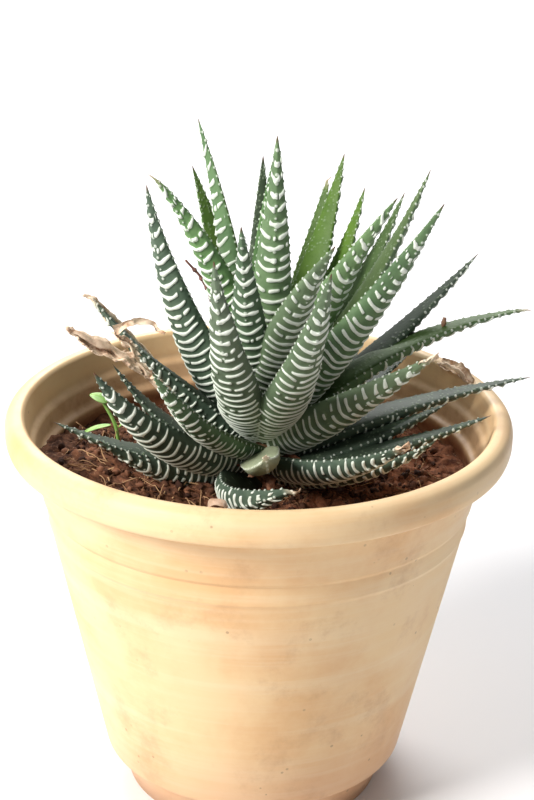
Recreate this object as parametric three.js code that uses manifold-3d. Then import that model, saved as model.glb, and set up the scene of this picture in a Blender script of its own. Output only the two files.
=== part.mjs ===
// A zebra haworthia in a round plastic nursery pot, with the soil it grows in, one dried
// flower stalk and a small seedling that came up beside it.
// Millimetres, +Z up. The origin is the centre of the pot's flat bottom; -Y is the front.

import * as THREE from "three";
import { mergeVertices } from "three/addons/utils/BufferGeometryUtils.js";
import Module from "manifold-3d";

const wasm = await Module();
wasm.setup();

// ---- Driving dimensions ----------------------------------------------------------------

// Pot
const potHeight = 105;
const rimRadius = 65;
const rimWidth = 5;
const rimHeight = 8.5;
const rimCrown = 2.4; // from the outside of the rim in to its highest line
const collarInset = 6;
const collarDepth = 14;
const collarTaper = 3.3;
const bodyStep = 0.7; // how much slimmer the body is than the foot of the collar
const bodyTaper = 15; // how much the body's radius shrinks down to the foot
const moulding = 0.4; // height of the faint line round the body under the collar
const mouldingDrop = 6; // from the foot of the collar down to that line
const footHeight = 10.5;
const footInset = 6;
const footStep = 2.5;
const wall = 1.5;
const floorThickness = 2;
const edgeRound = 0.8;
const potSegments = 48;
const tableRim = 65; // the rim radius that places across the pot are written for, below

// Inside of the pot's mouth: a ledge, and under it a low ridge, both measured in from the mouth
const ledgeInset = 2.6;
const ledgeRound = 0.8;
const ridgeInset = 5.2;
const ridgeSwell = 0.6;
const mouthBevel = 1.2;

// Where the parts of that inside stand, as shares of the collar's depth above its foot
const ridgeFootShare = 0.143;
const ridgeShare = 0.321;
const ridgeTopShare = 0.5;
const ledgeFootShare = 0.607;
const ledgeShare = 0.679;

// Drain holes, in a ring round the middle of the floor
const drainCount = 6;
const drainRadius = 3.5;
const drainInset = 10; // from the edge of the foot in to the ring
const drainSegments = 16;

// Soil
const soilBelowRim = 19;
const soilRelief = 0.9;
const soilRings = [1, 0.85, 0.7, 0.55, 0.4, 0.25, 0]; // as shares of its radius
const heapHeight = 8;
const heapPlace = [-48, -12];
const heapSpread = 22;
const soilSegments = 40;

// Stem
const stemRadius = 7;
const stemHeight = 17;
const stemRootDepth = 8;
const stemEndShare = 0.6; // radius of its ends as a share of its full radius
const stemShoulder = 0.6; // height of its shoulder as a share of its height
const stemCrown = 0.15; // height of its domed top as a share of its height
const stemSegments = 20;

// Leaves
const plantBelowRim = 19; // from the rim down to the level the leaves are measured from
const leafSides = 8;
const leafRings = 8;
const leafBulge = 0.72; // depth of the round outside as a share of half the width
const leafHollow = 0.22; // the same for the flatter inside
const leafNeck = 0.25; // share of the length that the narrowed base takes up
const leafNeckWidth = 0.75;
const leafFullness = 2.2; // the higher, the further out a leaf keeps its width
const leafPoint = 1.15; // the higher, the slimmer its point
const leafScale = 1;

// Dried flower stalk
const stalkRadius = 0.6;
const stalkSteps = 16;

// Seedling
const seedlingPlace = [-37, 10];
const seedlingHeight = 11.2;
const seedlingLean = 4; // how far its top stands from above its foot
const seedlingRootDepth = 1;
const seedlingStemRadius = 0.55;
const seedlingStemSteps = 6;
const seedlingLeafThickness = 0.7;

// Stalk and seedling stem are bars with this many sides
const barSides = 6;

// Gap between pieces that touch
const clearance = 0.3;

// Heights closer than this count as the same
const sameHeight = 1e-3;

// ---- Sizes that follow -----------------------------------------------------------------

const soilLine = potHeight - soilBelowRim;
const plantLine = potHeight - plantBelowRim;
const potShare = rimRadius / tableRim;
const leafReach = leafScale * potShare;
const seedlingX = seedlingPlace[0] * potShare;
const seedlingY = seedlingPlace[1] * potShare;
const mouthRadius = rimRadius - rimWidth;
const collarRadius = rimRadius - collarInset;
const collarFootRadius = collarRadius - collarTaper;
const collarTop = potHeight - rimHeight;
const collarFoot = collarTop - collarDepth;
const bodyTopRadius = collarFootRadius - bodyStep;
const bodyFootRadius = bodyTopRadius - bodyTaper;
const footRadius = bodyFootRadius - footInset;
const drainRingRadius = footRadius - drainInset;

// ---- Helpers ---------------------------------------------------------------------------

// A closed three.js geometry as a solid.
function solidFrom(geometry) {
  const bare = geometry.clone();
  for (const name of ["normal", "uv", "uv1"]) {
    bare.deleteAttribute(name);
  }
  const merged = mergeVertices(bare, 1e-4);
  return new wasm.Manifold(
    new wasm.Mesh({
      numProp: 3,
      vertProperties: new Float32Array(merged.attributes.position.array),
      triVerts: new Uint32Array(merged.index.array),
    }),
  );
}

// A solid as a three.js geometry.
function geometryFrom(solid) {
  const mesh = solid.getMesh();
  const geometry = new THREE.BufferGeometry();
  geometry.setAttribute("position", new THREE.BufferAttribute(mesh.vertProperties, 3));
  geometry.setIndex(new THREE.BufferAttribute(mesh.triVerts, 1));
  geometry.computeVertexNormals();
  return geometry;
}

// A profile of [radius, height] pairs turned about Z.
function turned(profile, segments) {
  const points = profile.map(([radius, height]) => new THREE.Vector2(radius, height));
  const geometry = new THREE.LatheGeometry(points, segments);
  geometry.rotateX(Math.PI / 2);
  return geometry;
}

// Moves every vertex of a geometry by a function of its place.
function reshape(geometry, move) {
  const place = geometry.attributes.position;
  const point = new THREE.Vector3();
  for (let i = 0; i < place.count; i++) {
    point.fromBufferAttribute(place, i);
    move(point);
    place.setXYZ(i, point.x, point.y, point.z);
  }
  return geometry;
}

// The largest of the bodies that a cut leaves.
function largestBody(solid) {
  return solid.decompose().reduce((best, body) => (body.volume() > best.volume() ? body : best));
}

const plant = new THREE.Group();

function addMesh(name, solid, colour, roughness) {
  const material = new THREE.MeshStandardMaterial({ color: colour, roughness, metalness: 0 });
  const mesh = new THREE.Mesh(geometryFrom(solid), material);
  mesh.name = name;
  plant.add(mesh);
}

// ---- Pot -------------------------------------------------------------------------------

// The inside of the pot, from the floor up to the mouth, drawn in by an offset.
function potInside(inset) {
  const ledge = mouthRadius - ledgeInset;
  const ridge = mouthRadius - ridgeInset;
  return [
    [footRadius - wall - inset, floorThickness],
    [footRadius + footStep - wall - inset, footHeight - edgeRound],
    [bodyFootRadius - wall - inset, footHeight + wall],
    [bodyTopRadius - wall - inset, collarFoot - ridgeFootShare * collarDepth],
    [ridge - inset, collarFoot + ridgeFootShare * collarDepth],
    [ridge + ridgeSwell - inset, collarFoot + ridgeShare * collarDepth],
    [ridge - inset, collarFoot + ridgeTopShare * collarDepth],
    [ridge - inset, collarFoot + ledgeFootShare * collarDepth],
    [ledge - ledgeRound - inset, collarFoot + ledgeShare * collarDepth],
    [ledge - inset, collarTop],
    [mouthRadius - mouthBevel - inset, collarTop + mouthBevel],
    [mouthRadius - inset, potHeight - edgeRound],
  ];
}

function potSolid() {
  const outside = [
    [0, 0],
    [footRadius, 0],
    [footRadius + footStep, footHeight - wall],
    [bodyFootRadius, footHeight],
    [bodyTopRadius - 2 * moulding, collarFoot - mouldingDrop - edgeRound],
    [bodyTopRadius - moulding, collarFoot - mouldingDrop],
    [bodyTopRadius, collarFoot - edgeRound],
    [collarFootRadius, collarFoot],
    [collarRadius, collarTop],
    [rimRadius - edgeRound, collarTop],
    [rimRadius, collarTop + rimCrown],
    [rimRadius, potHeight - rimCrown],
    [rimRadius - edgeRound, potHeight - edgeRound],
    [rimRadius - rimCrown, potHeight],
    [mouthRadius + edgeRound, potHeight],
  ];
  const profile = [...outside, ...potInside(0).reverse(), [0, floorThickness]];
  let pot = solidFrom(turned(profile, potSegments));
  const drainDepth = 4 * floorThickness;
  for (let i = 0; i < drainCount; i++) {
    const angle = (i / drainCount) * 2 * Math.PI;
    const hole = new THREE.CylinderGeometry(drainRadius, drainRadius, drainDepth, drainSegments);
    hole.rotateX(Math.PI / 2);
    hole.translate(drainRingRadius * Math.cos(angle), drainRingRadius * Math.sin(angle), 0);
    pot = pot.subtract(solidFrom(hole));
  }
  return pot;
}

// ---- Soil ------------------------------------------------------------------------------

// Height of the soil surface: heaped at the left towards the front, with low crumbs all over.
function soilHeight(x, y) {
  const [heapX, heapY] = heapPlace;
  const heapDistance = Math.hypot(x - heapX * potShare, y - heapY * potShare) / heapSpread;
  const crumbs = Math.sin(x / 5.1 + 1) * Math.cos(y / 4.3) + 0.5 * Math.sin((x - 2 * y) / 6.7);
  return soilLine + heapHeight * Math.exp(-0.5 * heapDistance ** 2) + soilRelief * crumbs;
}

// The soil fills the pot, clear of its wall, up to the surface and as much more as it is raised.
function soilSolid(raise) {
  const edge = bodyTopRadius - wall - clearance;
  const wallSide = potInside(clearance).slice(1, 3);
  const profile = [
    [0, floorThickness + clearance],
    [footRadius - wall - clearance, floorThickness + clearance],
    ...wallSide,
    [edge, collarFoot - ridgeFootShare * collarDepth],
  ];
  for (const share of soilRings) {
    profile.push([edge * share, soilLine]);
  }
  return solidFrom(
    reshape(turned(profile, soilSegments), (p) => {
      if (Math.abs(p.z - soilLine) < sameHeight) {
        p.z = soilHeight(p.x, p.y) + raise;
      }
    }),
  );
}

// ---- Stem ------------------------------------------------------------------------------

function stemSolid(grow) {
  const bottom = soilLine - stemRootDepth - grow;
  const top = plantLine + stemHeight + grow;
  const profile = [
    [0, bottom],
    [stemEndShare * stemRadius + grow, bottom],
    [stemRadius + grow, soilLine - edgeRound],
    [stemRadius + grow, plantLine + stemShoulder * stemHeight],
    [stemEndShare * stemRadius + grow, top - stemCrown * stemHeight],
    [0, top],
  ];
  return solidFrom(turned(profile, stemSegments));
}

// ---- Leaves ----------------------------------------------------------------------------

// One row for each leaf, from the heart of the rosette to its outside: name, tip [x, y, height
// above the plant's line], base height above that line, width, arch (how far the middle stands
// above a straight line), sway (the same, sideways) and turn (degrees about its own length).
const leaves = [
  ["leaf_crown_01", [3, -9, 93], 15, 13, -3, 0, -15],
  ["leaf_crown_02", [-17, 15, 91], 14, 14, 3, 0, 60],
  ["leaf_crown_03", [2, -3, 85], 14, 10.5, 1.5, -0.5, 0],
  ["leaf_crown_04", [20.5, 25, 80], 14, 12, -2, 0, 0],
  ["leaf_crown_05", [32.5, -8, 78], 14, 13, 2, 0, -45],
  ["leaf_crown_06", [-27, -15, 85], 13, 12.5, 6, 0, 30],
  ["leaf_crown_07", [-0.5, 32, 77], 13, 11, -3, 0, 0],
  ["leaf_crown_08", [-5, -28, 76], 14, 12, -1, 0, 0],
  ["leaf_crown_09", [17, -32, 73], 14, 15.5, 3, -2, 0],
  ["leaf_inner_01", [-28.5, -5, 79], 11, 13.5, -4.5, 0, 45],
  ["leaf_inner_02", [26, 22, 72], 12, 11, -3, 0, 0],
  ["leaf_inner_03", [41.5, 8, 81], 11, 12, -3, 0, 0],
  ["leaf_inner_04", [-19, 30, 74.5], 11, 11, 3, 0, 0],
  ["leaf_inner_05", [-11, -36, 70], 12, 13.5, -5, 0, 0],
  ["leaf_inner_06", [16, -40, 69], 12, 14, -4, 0, 0],
  ["leaf_inner_07", [17, 32, 73], 10, 11, -2, 0, 0],
  ["leaf_inner_08", [43.5, -12, 78], 13, 13, -2, 0, -45],
  ["leaf_inner_09", [36.5, 25, 70], 10, 11, -3, 0, 0],
  ["leaf_middle_01", [55.5, 15, 57], 9, 11.5, -2, 0, 0],
  ["leaf_lower_01", [-49, -14, 45], 5, 11, 3, 0, 0],
  ["leaf_middle_02", [-36, -15, 45], 9, 12, 0, 0, 0],
  ["leaf_middle_03", [-45, 5, 48], 4, 12, -1, 0, 20],
  ["leaf_middle_04", [70, 10, 44], 7, 12, 8, 0, 0],
  ["leaf_middle_05", [43, -22, 43], 8, 13, -1, 0, -50],
  ["leaf_middle_06", [-25, -42, 45], 8, 12.5, -4, 0, 0],
  ["leaf_middle_07", [-22, 30, 33], 8, 10.5, -2, 0, 0],
  ["leaf_middle_08", [5, 52, 40], 7, 11, -2, 0, 0],
  ["leaf_middle_09", [39, 21, 26], 7, 11, -1, 0, 0],
  ["leaf_middle_10", [-39, -36, 42], 5, 15, -6.5, 0, 35],
  ["leaf_middle_11", [2, -57, 30], 7, 11, -2, 0, 25],
  ["leaf_lower_02", [55, 14, 21], 6, 11, 0, 0, 0],
  ["leaf_lower_03", [70, 5, 27], 5, 11, 2.5, 0, 0],
  ["leaf_lower_04", [36, -40, 27], 5, 13, -4, 0, -30],
  ["leaf_lower_05", [-38, 3, 29], 1.5, 9.5, -4, 0, 0],
  ["leaf_lower_06", [48, -4, 23], 3, 13, -2, 0, 0],
  ["leaf_lower_07", [58, -14, 24], 2, 11, -2, 0, 0],
  ["leaf_lower_08", [-52, -10, 18], 3, 11, -3, 0, 0],
  ["leaf_lower_09", [-39, -26, 20], 1, 11, -4, 0, 50],
  ["leaf_lower_10", [44, -25, 22], 2.5, 11, -5, 0, -20],
  ["leaf_lower_11", [11, -50, 20], 3, 12, -5, -11, -50],
  ["leaf_lower_12", [-24, 36, 12], 4, 11, -1, 0, 0],
  ["leaf_lower_13", [28, 42, 22], 4, 11, -1, 0, 0],
  ["leaf_lower_14", [2, 52, 18], 3, 11, -1, 0, 0],
];

// The line down the middle of a leaf, from its base inside the stem to its tip.
function leafSpine(row) {
  const [, [x, y, height], baseHeight, , arch, sway] = row;
  const azimuth = Math.atan2(y, x);
  const base = new THREE.Vector3(0, 0, plantLine + baseHeight);
  const tip = new THREE.Vector3(x * leafReach, y * leafReach, plantLine + height * leafScale);
  const sideways = new THREE.Vector3(-Math.sin(azimuth), Math.cos(azimuth), 0);
  const upward = new THREE.Vector3().subVectors(tip, base).cross(sideways).normalize();
  const control = new THREE.Vector3().addVectors(base, tip).multiplyScalar(0.5);
  control.addScaledVector(upward, 2 * arch);
  control.addScaledVector(sideways, 2 * sway);
  return { curve: new THREE.QuadraticBezierCurve3(base, control, tip), sideways };
}

// Half the width of a leaf at a share of its length: a little narrow where it joins the stem,
// full soon after, then drawn to a point.
function leafHalfWidth(width, share) {
  const neck = leafNeckWidth + (1 - leafNeckWidth) * Math.min(1, share / leafNeck);
  return (width / 2) * neck * (1 - share ** leafFullness) ** leafPoint;
}

// A leaf is a cone bent along its spine: nearly flat on the inside, round on the outside.
function leafSolid(row, grow) {
  const { curve, sideways } = leafSpine(row);
  const width = row[3] * leafScale;
  const turn = THREE.MathUtils.degToRad(row[6]);
  const cone = new THREE.ConeGeometry(1, 1, leafSides, leafRings);
  const outward = new THREE.Vector3();
  const across = new THREE.Vector3();
  return solidFrom(
    reshape(cone, (p) => {
      const share = p.y + 0.5;
      const radius = Math.max(1 - share, 1e-9);
      const cosine = p.z / radius;
      const sine = p.x / radius;
      const tangent = curve.getTangent(share);
      outward.crossVectors(sideways, tangent).normalize();
      outward.applyAxisAngle(tangent, turn);
      across.crossVectors(outward, tangent);
      const half = leafHalfWidth(width, share);
      const depth = half * (sine > 0 ? leafBulge : leafHollow);
      curve.getPoint(share, p);
      if (share > 1 - 1e-6) {
        p.addScaledVector(tangent, grow);
        return;
      }
      p.addScaledVector(across, (half + grow) * cosine);
      p.addScaledVector(outward, (depth + grow) * sine);
    }),
  );
}

// ---- Dried flower stalk ----------------------------------------------------------------

// A bar along a curve through the given points, cut off flat at both ends.
function bar(points, radius, steps) {
  const section = new THREE.Shape();
  for (let i = 0; i < barSides; i++) {
    const angle = (i / barSides) * 2 * Math.PI;
    const draw = i === 0 ? "moveTo" : "lineTo";
    section[draw](radius * Math.cos(angle), radius * Math.sin(angle));
  }
  section.closePath();
  const path = new THREE.CatmullRomCurve3(points);
  return solidFrom(new THREE.ExtrudeGeometry(section, { steps, extrudePath: path }));
}

// Points along the stalk, [x, y, height above the plant's line]: its foot in the stem, and the
// rest, which spreads with the leaves.
const stalkFoot = [-3, 3, 14];
const stalkRoute = [
  [-9, 9, 26],
  [-12.5, 13, 38],
  [-14, 15, 46],
  [-21, 15, 54.5],
];

function stalkSolid(grow) {
  const points = stalkRoute.map(([x, y, height]) => {
    return new THREE.Vector3(x * leafReach, y * leafReach, plantLine + height * leafScale);
  });
  const [footX, footY, footHeightInStem] = stalkFoot;
  const foot = new THREE.Vector3(footX, footY, plantLine + footHeightInStem);
  return bar([foot, ...points], stalkRadius + grow, stalkSteps);
}

// ---- Seedling --------------------------------------------------------------------------

const seedlingFoot = soilHeight(seedlingX, seedlingY) - seedlingRootDepth;
const seedlingTop = soilHeight(seedlingX, seedlingY) + seedlingHeight;

function seedlingStemSolid(grow) {
  const points = [
    new THREE.Vector3(seedlingX, seedlingY, seedlingFoot),
    new THREE.Vector3(seedlingX - seedlingLean / 4, seedlingY, (seedlingFoot + seedlingTop) / 2),
    new THREE.Vector3(seedlingX - seedlingLean, seedlingY, seedlingTop),
  ];
  return bar(points, seedlingStemRadius + grow, seedlingStemSteps);
}

// One row for each seedling leaf: name, centre measured from the stem's foot, length, width,
// heading (degrees) and slope (degrees).
const seedlingLeaves = [
  ["seedling_leaf_01", [-5.4, 1, 13.2], 5.2, 4.6, 150, 20],
  ["seedling_leaf_02", [-6.4, -1, 5.2], 9, 2.6, 188, -18],
  ["seedling_leaf_03", [1.2, 0, 6.6], 4.2, 2, 0, 40],
];

function seedlingLeafSolid([, centre, length, width, heading, slope]) {
  const leaf = new THREE.SphereGeometry(0.5, 10, 6);
  leaf.scale(length, width, seedlingLeafThickness);
  leaf.rotateY(-THREE.MathUtils.degToRad(slope));
  leaf.rotateZ(THREE.MathUtils.degToRad(heading));
  leaf.translate(seedlingX + centre[0], seedlingY + centre[1], seedlingFoot + centre[2]);
  return solidFrom(leaf);
}

// ---- The whole plant in its pot --------------------------------------------------------

const grownStem = stemSolid(clearance);
const raisedSoil = soilSolid(clearance);

addMesh("pot", potSolid(), 0xd9a876, 0.55);
addMesh("soil", soilSolid(0).subtract(grownStem), 0x6b3f2a, 0.95);
addMesh("stem", stemSolid(0), 0x8a7a55, 0.8);

addMesh("dried_flower_stalk", largestBody(stalkSolid(0).subtract(grownStem)), 0x8c5a46, 0.8);

// Each leaf gives way to the stem, the soil, the stalk and the leaves further in.
const taken = [grownStem, raisedSoil, stalkSolid(clearance)];
for (const row of leaves) {
  const whole = leafSolid(row, 0);
  addMesh(row[0], largestBody(whole.subtract(wasm.Manifold.union(taken))), 0x4f7350, 0.5);
  taken.push(leafSolid(row, clearance));
}

addMesh("seedling_stem", seedlingStemSolid(0).subtract(raisedSoil), 0x9fbf6a, 0.6);
const grownSeedling = seedlingStemSolid(clearance);
for (const row of seedlingLeaves) {
  addMesh(row[0], largestBody(seedlingLeafSolid(row).subtract(grownSeedling)), 0x9fc46c, 0.6);
}

export default plant;
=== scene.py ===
"""A zebra haworthia in a faded nursery pot: the finished surfaces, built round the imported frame."""

import math

import bpy
import numpy as np
from mathutils import Matrix, Vector, noise
from mathutils.bvhtree import BVHTree


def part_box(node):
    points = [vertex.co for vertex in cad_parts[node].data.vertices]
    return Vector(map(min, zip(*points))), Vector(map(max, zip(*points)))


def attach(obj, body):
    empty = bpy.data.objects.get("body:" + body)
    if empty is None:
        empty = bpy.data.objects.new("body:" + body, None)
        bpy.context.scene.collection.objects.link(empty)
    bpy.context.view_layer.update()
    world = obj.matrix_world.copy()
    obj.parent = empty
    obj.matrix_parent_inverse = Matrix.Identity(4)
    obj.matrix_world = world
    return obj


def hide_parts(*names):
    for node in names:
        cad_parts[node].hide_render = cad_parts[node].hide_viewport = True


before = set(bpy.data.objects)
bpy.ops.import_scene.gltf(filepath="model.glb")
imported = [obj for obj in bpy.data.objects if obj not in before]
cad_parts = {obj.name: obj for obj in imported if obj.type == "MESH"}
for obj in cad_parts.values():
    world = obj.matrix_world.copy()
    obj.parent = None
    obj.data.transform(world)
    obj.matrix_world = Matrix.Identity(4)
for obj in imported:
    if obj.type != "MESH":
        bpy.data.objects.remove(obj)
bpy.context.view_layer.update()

MM = 0.001

noise.seed_set(11)  # so that the uneven shifts of dry tissue come out the same each time

# ---- Sizes read from the frame ---------------------------------------------------------

pot_low, pot_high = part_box("pot")
stem_low, stem_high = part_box("stem")
soil_low, soil_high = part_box("soil")
rim_height = pot_high.z
crown = np.array([0.0, 0.0, stem_high.z - 10 * MM])  # where the leaves set out from

# ---- Camera, floor and light -----------------------------------------------------------

camera_target = Vector((1.9 * MM, 0, rim_height + 2 * MM))
camera_distance = 0.487
camera_elevation = math.radians(22.34)
camera_roll = math.radians(1.25)
camera_lens = 85.5
camera_nearest = 0.01
camera_farthest = 50

aim = (0, 0, rim_height)
# Each light's name, place, the point it faces, its width, power and colour.
lights = (
    ("key", (-0.8, -0.53, 0.8), aim, 0.45, 20.5, (1.0, 0.97, 0.93)),
    ("back", (-0.15, 0.75, 0.75), (0, 0.1, 0.1), 0.7, 5, (1.0, 0.99, 0.96)),
    ("far_floor", (-0.3, 2.2, 1.6), (-0.3, 2.2, 0), 2.5, 66, (1.0, 1.0, 1.0)),
)
sky_colour = (0.95, 0.97, 1.0, 1)
sky_strength = 0.26
floor_width = 12
floor_colour = (0.78, 0.78, 0.8, 1)
floor_roughness = 0.9


def build_camera():
    back = Vector((0, -math.cos(camera_elevation), math.sin(camera_elevation)))
    level = Vector((1, 0, 0))
    upright = back.cross(level)
    right = level * math.cos(camera_roll) + upright * math.sin(camera_roll)
    up = upright * math.cos(camera_roll) - level * math.sin(camera_roll)
    data = bpy.data.cameras.new("camera")
    data.lens = camera_lens
    data.clip_start = camera_nearest
    data.clip_end = camera_farthest
    camera = bpy.data.objects.new("camera", data)
    bpy.context.scene.collection.objects.link(camera)
    turn = Matrix((right, up, back)).transposed().to_4x4()
    camera.matrix_world = Matrix.Translation(camera_target + back * camera_distance) @ turn
    bpy.context.scene.camera = camera


def area_light(name, place, facing, size, energy, colour):
    data = bpy.data.lights.new(name, "AREA")
    data.shape = "DISK"
    data.size = size
    data.energy = energy
    data.color = colour
    light = bpy.data.objects.new(name, data)
    bpy.context.scene.collection.objects.link(light)
    light.location = place
    light.rotation_mode = "QUATERNION"
    light.rotation_quaternion = (Vector(facing) - Vector(place)).to_track_quat("-Z", "Y")


def build_light():
    world = bpy.data.worlds.new("studio")
    world.use_nodes = True
    background = world.node_tree.nodes["Background"]
    background.inputs["Color"].default_value = sky_colour
    background.inputs["Strength"].default_value = sky_strength
    bpy.context.scene.world = world
    for light in lights:
        area_light(*light)
    bpy.context.scene.view_settings.view_transform = "Standard"


def build_floor():
    bpy.ops.mesh.primitive_plane_add(size=floor_width, location=(0, 0, pot_low.z))
    floor = bpy.context.object
    floor.name = "floor"
    material = bpy.data.materials.new("floor")
    material.use_nodes = True
    shader = material.node_tree.nodes["Principled BSDF"]
    shader.inputs["Base Color"].default_value = floor_colour
    shader.inputs["Roughness"].default_value = floor_roughness
    floor.data.materials.append(material)


# ---- Node helpers ----------------------------------------------------------------------


class Nodes:
    """A short way to write a material's node tree."""

    def __init__(self, name):
        self.material = bpy.data.materials.new(name)
        self.material.use_nodes = True
        self.tree = self.material.node_tree
        self.shader = self.tree.nodes["Principled BSDF"]

    def node(self, kind, **settings):
        made = self.tree.nodes.new(kind)
        for key, value in settings.items():
            setattr(made, key, value)
        return made

    def put(self, socket, value):
        if isinstance(value, bpy.types.NodeSocket):
            self.tree.links.new(value, socket)
        else:
            socket.default_value = value

    def attribute(self, name):
        return self.node("ShaderNodeAttribute", attribute_name=name).outputs["Fac"]

    def place(self, scale=(1, 1, 1)):
        mapping = self.node("ShaderNodeMapping")
        mapping.inputs["Scale"].default_value = scale
        coordinates = self.node("ShaderNodeTexCoord")
        self.put(mapping.inputs["Vector"], coordinates.outputs["Object"])
        return mapping.outputs["Vector"]

    def noise(self, scale, detail=4, roughness=0.55, stretch=(1, 1, 1)):
        made = self.node("ShaderNodeTexNoise")
        self.put(made.inputs["Vector"], self.place(stretch))
        self.put(made.inputs["Scale"], scale)
        self.put(made.inputs["Detail"], detail)
        self.put(made.inputs["Roughness"], roughness)
        return made.outputs["Fac"]

    def cells(self, scale):
        made = self.node("ShaderNodeTexVoronoi")
        self.put(made.inputs["Vector"], self.place())
        self.put(made.inputs["Scale"], scale)
        return made.outputs["Distance"]

    def steps(self, value, low, high, to_low=0.0, to_high=1.0):
        made = self.node("ShaderNodeMapRange", interpolation_type="SMOOTHSTEP")
        self.put(made.inputs["Value"], value)
        self.put(made.inputs["From Min"], low)
        self.put(made.inputs["From Max"], high)
        self.put(made.inputs["To Min"], to_low)
        self.put(made.inputs["To Max"], to_high)
        return made.outputs["Result"]

    def math(self, kind, first, second):
        made = self.node("ShaderNodeMath", operation=kind)
        self.put(made.inputs[0], first)
        self.put(made.inputs[1], second)
        return made.outputs[0]

    def mix(self, share, first, second):
        made = self.node("ShaderNodeMix", data_type="RGBA")
        self.put(made.inputs["Factor"], share)
        for socket, value in ((made.inputs[6], first), (made.inputs[7], second)):
            self.put(socket, value if isinstance(value, bpy.types.NodeSocket) else (*value, 1))
        return made.outputs[2]

    def bump(self, height, strength, distance):
        made = self.node("ShaderNodeBump")
        self.put(made.inputs["Height"], height)
        made.inputs["Strength"].default_value = strength
        made.inputs["Distance"].default_value = distance
        self.put(self.shader.inputs["Normal"], made.outputs["Normal"])

    def coordinates(self):
        """The X, Y and Z of the place on the surface."""
        separate = self.node("ShaderNodeSeparateXYZ")
        self.put(separate.inputs[0], self.place())
        return separate.outputs

    def skin(self, colour, roughness, specular=0.5):
        self.put(self.shader.inputs["Base Color"], colour)
        self.put(self.shader.inputs["Roughness"], roughness)
        self.shader.inputs["Specular IOR Level"].default_value = specular


# ---- Mesh helpers ----------------------------------------------------------------------


def tube_quads(rows, columns):
    """Quads between the rings of a tube, each ring with the same number of points."""
    i, j = np.meshgrid(np.arange(rows - 1), np.arange(columns), indexing="ij")
    k = (j + 1) % columns
    corners = [i * columns + j, i * columns + k, (i + 1) * columns + k, (i + 1) * columns + j]
    return np.stack(corners, -1).reshape(-1, 4)


def fan(centre, first, columns):
    """Triangles from a centre point to a ring that starts at the first index."""
    j = np.arange(columns)
    return np.stack([np.full(columns, centre), first + j, first + (j + 1) % columns], -1)


def signed_volume(points, triangles):
    a, b, c = points[triangles[:, 0]], points[triangles[:, 1]], points[triangles[:, 2]]
    return np.einsum("ij,ij->", a, np.cross(b, c)) / 6


def facing_out(points, quads, triangles):
    """The faces of a closed surface, turned to look out of it."""
    halves = np.vstack([quads[:, [0, 1, 2]], quads[:, [0, 2, 3]], triangles])
    if signed_volume(points - points.mean(0), halves) < 0:
        return quads[:, ::-1], triangles[:, ::-1]
    return quads, triangles


def closed_tube(rings, start, end):
    """Points, quads and triangles of a tube closed by a fan at each end."""
    rows, columns = rings.shape[:2]
    points = np.vstack([rings.reshape(-1, 3), start, end])
    last = rows * columns
    ends = [fan(last, 0, columns)[:, ::-1], fan(last + 1, last - columns, columns)]
    return points, *facing_out(points, tube_quads(rows, columns), np.vstack(ends))


def make_piece(name, points, quads, triangles, attributes=None):
    """A smooth mesh object from arrays."""
    mesh = bpy.data.meshes.new(name)
    mesh.vertices.add(len(points))
    mesh.vertices.foreach_set("co", points.astype(np.float32).ravel())
    corners = np.concatenate([quads.ravel(), triangles.ravel()]).astype(np.int32)
    mesh.loops.add(len(corners))
    mesh.loops.foreach_set("vertex_index", corners)
    mesh.polygons.add(len(quads) + len(triangles))
    starts = [4 * np.arange(len(quads)), 4 * len(quads) + 3 * np.arange(len(triangles))]
    mesh.polygons.foreach_set("loop_start", np.concatenate(starts).astype(np.int32))
    mesh.update(calc_edges=True)
    mesh.validate()
    mesh.polygons.foreach_set("use_smooth", np.ones(len(mesh.polygons), bool))
    for key, values in (attributes or {}).items():
        layer = mesh.attributes.new(key, "FLOAT", "POINT")
        layer.data.foreach_set("value", np.asarray(values, np.float32).ravel())
    piece = bpy.data.objects.new(name, mesh)
    bpy.context.scene.collection.objects.link(piece)
    return piece


def finish_piece(piece, material, nodes=()):
    piece.data.materials.append(material)
    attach(piece, "root")
    if nodes:
        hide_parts(*nodes)


def node_mesh(name):
    """Welded points and triangles of a CAD node."""
    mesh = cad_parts[name].data
    points = np.zeros(3 * len(mesh.vertices), np.float32)
    mesh.vertices.foreach_get("co", points)
    mesh.calc_loop_triangles()
    triangles = np.zeros(3 * len(mesh.loop_triangles), np.int32)
    mesh.loop_triangles.foreach_get("vertices", triangles)
    rounded = np.round(points.reshape(-1, 3).astype(float), 6)
    welded, back = np.unique(rounded, axis=0, return_inverse=True)
    return welded, back.reshape(-1)[triangles].reshape(-1, 3)


def neighbours(count, triangles):
    near = [set() for _ in range(count)]
    for a, b, c in triangles:
        near[a].update((b, c))
        near[b].update((a, c))
        near[c].update((a, b))
    return near


def smooth(value, low, high):
    t = np.clip((value - low) / (high - low), 0, 1)
    return t * t * (3 - 2 * t)


def unit(vectors):
    return vectors / np.linalg.norm(vectors, axis=-1, keepdims=True)


def shaken(place, waves):
    """An uneven shift of a place in mm, from waves of so many a metre and so many mm each."""
    shifts = (noise.noise_vector(place * scale) * reach for scale, reach in waves)
    return np.array(sum(shifts, Vector()))


def ripple(rng, values, count, lowest, highest):
    """A smooth random wave along values, between about -1 and 1."""
    total = np.zeros_like(values)
    for _ in range(count):
        total += np.sin(values * rng.uniform(lowest, highest) + rng.uniform(0, 2 * math.pi))
    return total / count


# ---- Leaves ----------------------------------------------------------------------------

# How a leaf is drawn in the frame: the sides of each of its rings, and the rings to its tip.
leaf_sides = 8
leaf_rings = 8
# The outline of the leaves in the frame, against the share of the length, and a finer tip.
neck_width = 0.75
neck_share = 0.25
fullness = 2.2
pointedness = 1.15
tip_width = 0.045
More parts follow.
